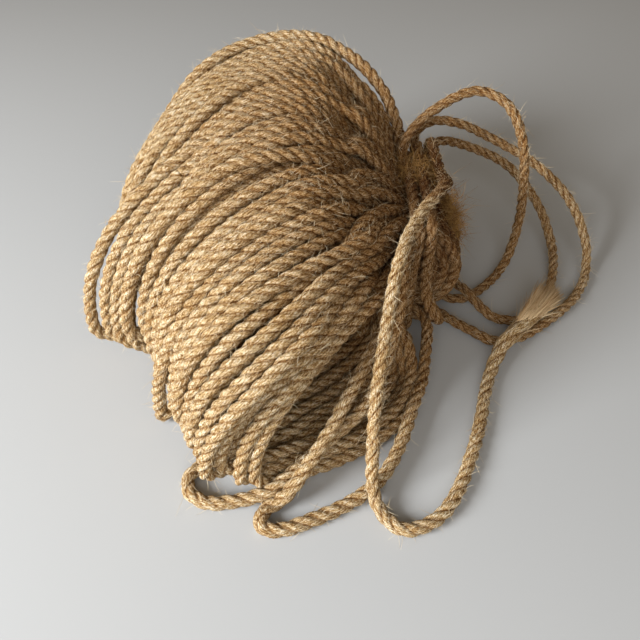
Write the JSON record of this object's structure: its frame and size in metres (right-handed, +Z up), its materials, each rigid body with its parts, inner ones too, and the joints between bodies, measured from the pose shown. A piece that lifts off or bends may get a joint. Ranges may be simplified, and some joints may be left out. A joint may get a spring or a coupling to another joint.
{
  "type": "climbing rope hank",
  "caption": "Hank of laid rope wrapped at the waist, its turns fanned out in a heap, with three slack side loops and a loose frayed end.",
  "frame": {"origin": "middle of the footprint, on the ground", "axes": "+Z up; +X towards the three side loops; the loose end lies towards -Y"},
  "size_m": [0.2797, 0.2505, 0.1187],
  "materials": {
    "rope": "matt twisted plant fibre",
    "fray": "matt loose fibre"
  },
  "bodies": {
    "root": {"hank_turns": "rope", "waist_wraps": "rope", "side_loop_1": "rope", "side_loop_2": "rope", "side_loop_3": "rope", "working_end": "rope", "frayed_tip": "fray"}
  },
  "joints": []
}
